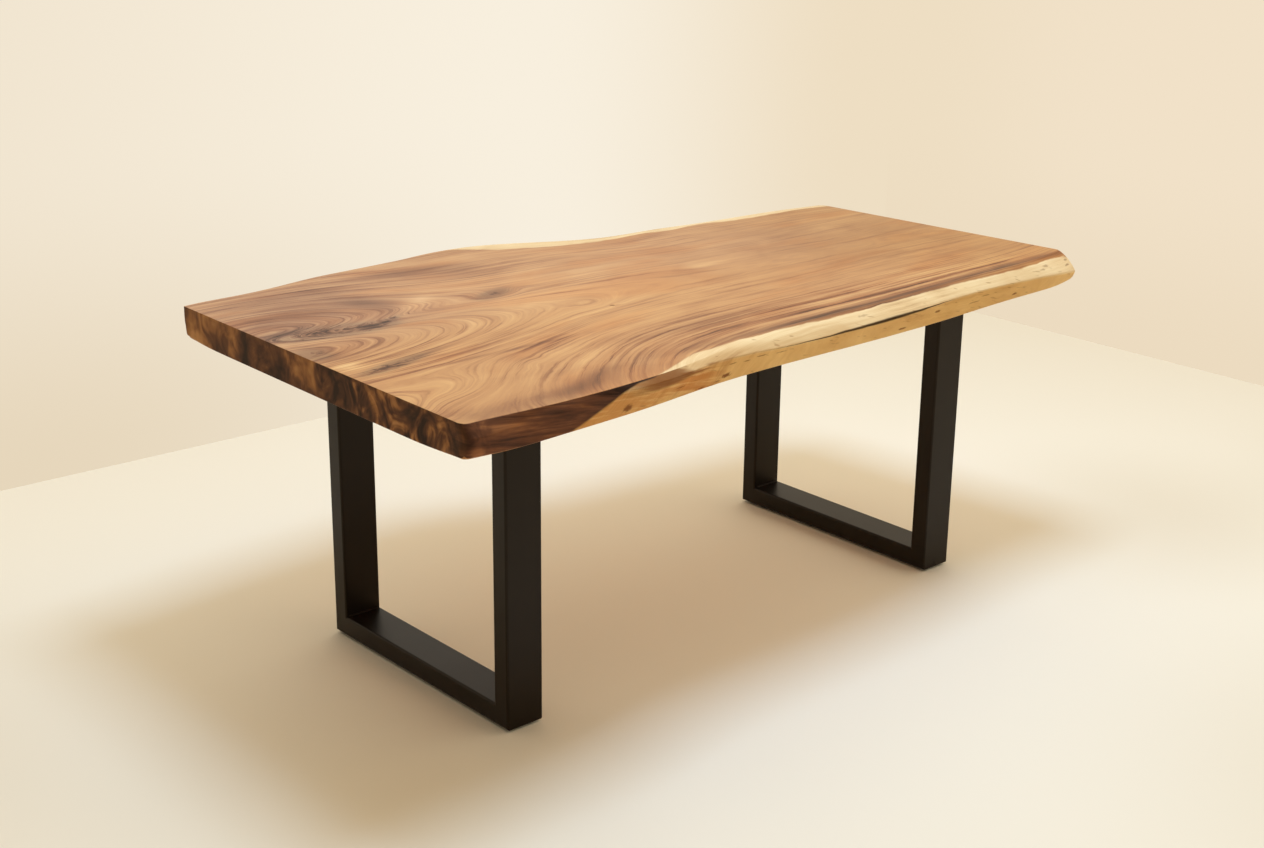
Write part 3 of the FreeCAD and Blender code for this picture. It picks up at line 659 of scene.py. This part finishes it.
umber = recipe.rise(x, -0.62, -0.50) * recipe.rise(x, -0.31, -0.37) * bark_side
umber = umber * recipe.rise(side_grain + left_part * 0.12, 0.34, 0.54)
umber = umber * recipe.rise(under_ridge + left_part * 0.006, -0.018, -0.006)
umber = umber * recipe.rise(under_ridge - left_part * 0.05, 0.004, 0.000)
sapwood = recipe.mix(umber * 0.85, sapwood, paint(126, 73, 30))
fleck = recipe.noise(recipe.place(x * 30.0, y * 30.0, z * 190.0 + x * 40.0), 1.0, detail=1.0)
sapwood = recipe.mix(recipe.rise(fleck, 0.67, 0.75) * bark_side * 0.45, sapwood, paint(150, 98, 48))
unsteady = recipe.rise(x, -0.46, -0.25, 0.15, 1.0)
sap_edge = painted("sap") + ((streak - 0.5) * 0.012 + (waver - 0.5) * 0.016) * unsteady
colour = recipe.mix(recipe.rise(sap_edge, -0.002, 0.004), heart, sapwood)

# knots and bark flecks: x, y, z, half sizes along x, y and z, and darkness
marks = [
    (-0.569, -0.523, 0.708, 0.013, 0.030, 0.009, 0.9), (-0.279, -0.486, 0.707, 0.014, 0.030, 0.006, 0.95),
    (-0.300, -0.488, 0.698, 0.010, 0.030, 0.002, 0.6), (-0.352, -0.489, 0.695, 0.014, 0.030, 0.002, 0.7),
    (-0.270, -0.494, 0.732, 0.012, 0.020, 0.0018, 0.6), (-0.228, -0.492, 0.728, 0.010, 0.020, 0.0016, 0.7),
    (-0.184, -0.492, 0.731, 0.014, 0.020, 0.0016, 0.7), (-0.429, -0.515, 0.718, 0.016, 0.030, 0.002, 0.6),
    (-0.125, -0.492, 0.727, 0.014, 0.020, 0.0016, 0.6), (0.533, -0.454, 0.714, 0.020, 0.020, 0.0016, 0.5),
    (0.576, -0.453, 0.723, 0.016, 0.020, 0.0016, 0.5), (0.391, -0.467, 0.719, 0.010, 0.020, 0.0028, 0.8),
    (0.695, -0.443, 0.705, 0.010, 0.020, 0.003, 0.85), (0.269, -0.470, 0.702, 0.014, 0.020, 0.0025, 0.8),
    (0.829, -0.429, 0.748, 0.013, 0.006, 0.003, 0.45), (0.806, -0.436, 0.744, 0.012, 0.006, 0.002, 0.4),
    (0.922, -0.424, 0.736, 0.012, 0.012, 0.002, 0.6), (0.930, -0.412, 0.745, 0.008, 0.008, 0.002, 0.5),
    (0.144, -0.465, 0.751, 0.016, 0.004, 0.004, 0.35), (-0.235, -0.091, 0.760, 0.007, 0.005, 0.010, 0.8),
]
ragged = (recipe.noise(spot, 140.0, detail=3.0) - 0.5) * 1.4
for *middle, long, deep_in, high, darkness in marks:
    gap = recipe.place((x - middle[0]) / long, (y - middle[1]) / deep_in, (z - middle[2]) / high)
    reach = recipe.node("ShaderNodeVectorMath", {"operation": "LENGTH"}, {0: gap}, out="Value")
    colour = recipe.mix(recipe.rise(reach + ragged, 1.3, 0.4) * darkness, colour, paint(124, 70, 26))
# painted shade: the crack is painted near black, as the shade in its groove; the same dark line also falls
# on the back edge at that height, where there is no groove
crack_width = recipe.rise(x, -0.16, 0.20) * recipe.rise(x, 0.46, 0.24) * 0.0036 + 0.0003
off_crack = abs(under_ridge + crack_drop + (side_grain - 0.5) * 0.003)
crack_shade = recipe.rise(off_crack / crack_width, 1.3, 0.5)
crack_shade = crack_shade * recipe.rise(x, -0.20, -0.10) * recipe.rise(x, 0.50, 0.40)
colour = recipe.mix(crack_shade * bark_side * 0.9, colour, paint(42, 25, 13))

bump_height = fibre * 0.5 + pore * 0.35 + streak * 0.3
relief = recipe.node("ShaderNodeBump", None, {"Strength": 0.25, "Distance": 0.0004, "Height": bump_height},
                     out="Normal")
roughness = 0.45 + (fibre - 0.5) * 0.12 + (sawn_end + bark_side) * 0.10
surface = recipe.node("ShaderNodeBsdfPrincipled", None, {
    "Base Color": colour, "Roughness": roughness, "Normal": relief, "Specular IOR Level": 0.10,
    "Specular Tint": (1.0, 0.88, 0.74, 1.0)})
recipe.node("ShaderNodeOutputMaterial", None, {"Surface": surface})

slab = new_piece("slab", points, [quads], slab_finish)
skin_values = {"rings": rings, "sap": sap, "shade": shade, "figure": figure, "knot": knot,
               "under_ridge": past_ridge, "sawn": sawn, "live": live}
for name, values in skin_values.items():
    slab.data.attributes.new(name, "FLOAT", "POINT").data.foreach_set("value", values.astype(np.float32))
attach(slab, "table")
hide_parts("slab_top")

# ---------------------------------------------------------------------------------------------------
# The frames: uprights and rails of 90 by 45 steel tube, mitred and welded, with a flat bar across the
# top. Each frame is welded up, ground flush outside, and powder-coated in satin black.
# ---------------------------------------------------------------------------------------------------

powder_coat, recipe = new_finish("black_powder_coat")
spot = recipe.node("ShaderNodeTexCoord", out="Object")
cloud = recipe.noise(spot, 7.0, detail=2.0)
peel = recipe.noise(spot, 650.0, detail=1.0)
colour = recipe.mix(cloud, paint(14, 8, 4), paint(20, 12, 7))
relief = recipe.node("ShaderNodeBump", None, {"Strength": 0.35, "Distance": 0.00012, "Height": peel},
                     out="Normal")
surface = recipe.node("ShaderNodeBsdfPrincipled", None, {
    "Base Color": colour, "Roughness": 0.36 + (cloud - 0.5) * 0.08, "Normal": relief,
    "Specular IOR Level": 0.22, "Specular Tint": (1.0, 0.82, 0.64, 1.0)})
recipe.node("ShaderNodeOutputMaterial", None, {"Surface": surface})

steel_roles = ("bottom_rail", "front_upright", "rear_upright", "mounting_plate")
for side in ("left", "right"):
    for role in steel_roles:
        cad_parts[f"{side}_{role}"].material_slots[0].material = powder_coat


def tube_faces(rings, sides):
    """A tube through rings of points: the quads all round, and a cap on each end."""
    number = np.arange(rings * sides).reshape(rings, sides)
    quads = grid_faces(np.concatenate([number, number[:, :1]], axis=1))
    return quads, np.stack([number[0, ::-1], number[-1]])


def weld_bead(start, end, first_way, second_way, leg):
    """A fillet weld along an inside corner from start to end.

    The section is a point just inside the steel, then an arc that bulges from one leg to the other. The
    leg grows by the size of a sine along the bead, one hump to a puddle, and shrinks to a quarter at both
    ends by the root of the distance from them.
    """
    step, puddle, taper = 0.0008, 0.0028, 0.004
    length = np.linalg.norm(end - start)
    steps = int(length / step)
    along = np.linspace(0, 1, steps)
    puddles = 1 + 0.10 * np.abs(np.sin(math.pi * along * length / puddle)) + 0.05 * np.sin(along * 31)
    ends = np.clip(np.minimum(along, 1 - along) * length / taper, 0.06, 1) ** 0.5
    angle = np.linspace(0, math.pi / 2, 7)
    arc = np.stack([np.cos(angle), np.sin(angle)], -1) ** 0.8
    section = np.concatenate([[[-0.15, -0.15]], arc * 0.86])
    size = (leg * puddles * ends)[:, None, None]
    flat = section[None] * size
    centres = (start + (end - start) * along[:, None])[:, None]
    points = centres + flat[..., :1] * first_way + flat[..., 1:] * second_way
    return points.reshape(-1, 3), tube_faces(steps, len(section))


up, back = np.array([0.0, 0.0, 1.0]), np.array([0.0, 1.0, 0.0])
bead_leg, tube_rounding = 0.0032, 0.006
for side in ("left", "right"):
    rail_low, rail_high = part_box(f"{side}_bottom_rail")
    front_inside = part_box(f"{side}_front_upright")[1][1]
    rear_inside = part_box(f"{side}_rear_upright")[0][1]
    plate_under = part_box(f"{side}_mounting_plate")[0][2]
    x0, x1 = rail_low[0] + tube_rounding, rail_high[0] - tube_rounding
    all_points, all_faces, count = [], [], 0
    seams = ((front_inside, rail_high[2], back, up), (rear_inside, rail_high[2], -back, up),
             (front_inside, plate_under, back, -up), (rear_inside, plate_under, -back, -up))
    for y, z, way_y, way_z in seams:
        start, end = np.array([[x0, y, z], [x1, y, z]])
        bead_points, bead_faces = weld_bead(start, end, way_y, way_z, bead_leg)
        order = 1 if way_y[1] * way_z[2] > 0 else -1        # a mirrored section turns its faces inside out
        all_faces += [faces[:, ::order] + count for faces in bead_faces]
        all_points.append(bead_points)
        count += len(bead_points)
    beads = new_piece(f"{side}_weld_beads", np.concatenate(all_points), all_faces, powder_coat)
    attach(beads, "table")

# ---------------------------------------------------------------------------------------------------
# Fasteners: flanged bolts up through the plates' slots into threaded inserts in the slab, and nuts
# welded inside the rails. They are steel, zinc-plated, with the faint cloudiness that plating has.
# ---------------------------------------------------------------------------------------------------

zinc, recipe = new_finish("bright_zinc")
spot = recipe.node("ShaderNodeTexCoord", out="Object")
cloud = recipe.noise(spot, 120.0, detail=3.0)
scuff = recipe.noise(spot, 900.0, detail=2.0)
colour = recipe.mix(cloud, paint(176, 176, 172), paint(206, 208, 208))
relief = recipe.node("ShaderNodeBump", None, {"Strength": 0.3, "Distance": 0.00005, "Height": scuff},
                     out="Normal")
surface = recipe.node("ShaderNodeBsdfPrincipled", None, {
    "Base Color": colour, "Metallic": 1.0, "Roughness": 0.28 + cloud * 0.16, "Normal": relief})
recipe.node("ShaderNodeOutputMaterial", None, {"Surface": surface})

foot_names = [f"{side}_{end}" for side in ("left", "right") for end in ("front", "rear")]
zinc_nodes = [f"{side}_{role}" for side in ("left", "right") for role in ("slab_bolts", "threaded_inserts")]
zinc_nodes += [f"{foot}_foot_nut" for foot in foot_names]
for name in zinc_nodes:
    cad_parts[name].material_slots[0].material = zinc

# ---------------------------------------------------------------------------------------------------
# Levelling feet: an M8 stud with a hex collar for the spanner and a round spigot that turns in a pad.
# The stud is cold-headed steel with a rolled thread; the pad is moulded black nylon.
# ---------------------------------------------------------------------------------------------------

nylon, recipe = new_finish("black_nylon")
spot = recipe.node("ShaderNodeTexCoord", out="Object")
grain = recipe.noise(spot, 1400.0, detail=1.0)
cloud = recipe.noise(spot, 60.0, detail=2.0)
colour = recipe.mix(cloud, paint(30, 29, 28), paint(40, 38, 36))
relief = recipe.node("ShaderNodeBump", None, {"Strength": 0.3, "Distance": 0.0001, "Height": grain},
                     out="Normal")
surface = recipe.node("ShaderNodeBsdfPrincipled", None, {
    "Base Color": colour, "Roughness": 0.55 + (cloud - 0.5) * 0.1, "Normal": relief})
recipe.node("ShaderNodeOutputMaterial", None, {"Surface": surface})

spigot_radius, collar_flat, thread_radius = 0.005, 0.0065, 0.004
spigot_height, collar_top, thread_pitch, thread_depth = 0.0018, 0.0043, 0.00125, 0.00062
stud_rise = 0.0318


def foot_stud(centre_x, centre_y, base):
    """A stud as rings of points, each ring at one height and one angle all round.

    The radius is the smaller of a cone that chamfers the ends and the form at that height: a circle for the
    spigot, a hexagon (half the flats over the cosine of the angle from the flat's middle) for the collar,
    and for the thread the outer radius less the depth times a triangle wave of height over pitch less
    turns.
    """
    foot_end = [(0.0, 0.0046), (0.0003, 0.005), (spigot_height, 0.005), (spigot_height + 1e-6, 0.0062),
                (spigot_height + 0.0003, 0.0069), (collar_top - 0.0004, 0.0069), (collar_top, 0.0063),
                (collar_top + 1e-6, 0.0037)]
    thread_z = np.arange(collar_top + 0.0002, stud_rise - 0.0002, thread_pitch / 8)
    tip = 0.0041 - np.clip(thread_z - stud_rise + 0.001, 0, 1) * 0.9
    heights, cone = np.vstack([foot_end, np.column_stack([thread_z, tip]), [(stud_rise, 0.0032)]]).T
    angle = np.linspace(0, 2 * math.pi, 36, endpoint=False)
    z, a = heights[:, None], angle[None]
    hexagon = collar_flat / np.cos(a % (math.pi / 3) - math.pi / 6)
    wave = np.abs((z / thread_pitch - a / (2 * math.pi)) % 1 - 0.5) * 2
    thread = thread_radius - thread_depth * wave
    is_thread, is_collar = z > collar_top, (z > spigot_height) & (z <= collar_top)
    form = np.where(is_thread, thread, np.where(is_collar, hexagon, spigot_radius))
    radius = np.minimum(form, cone[:, None])
    points = np.stack([centre_x + radius * np.cos(a), centre_y + radius * np.sin(a), base + z + 0 * a], -1)
    return points, tube_faces(len(heights), len(angle))


for foot in foot_names:
    low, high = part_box(f"{foot}_foot_stud")
    points, faces = foot_stud((low[0] + high[0]) / 2, (low[1] + high[1]) / 2, low[2])
    stud = new_piece(f"{foot}_threaded_stud", points, faces, zinc)
    stud.data.set_sharp_from_angle(angle=math.radians(38))
    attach(stud, f"{foot}_stud")
    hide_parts(f"{foot}_foot_stud")
    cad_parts[f"{foot}_foot_pad"].material_slots[0].material = nylon
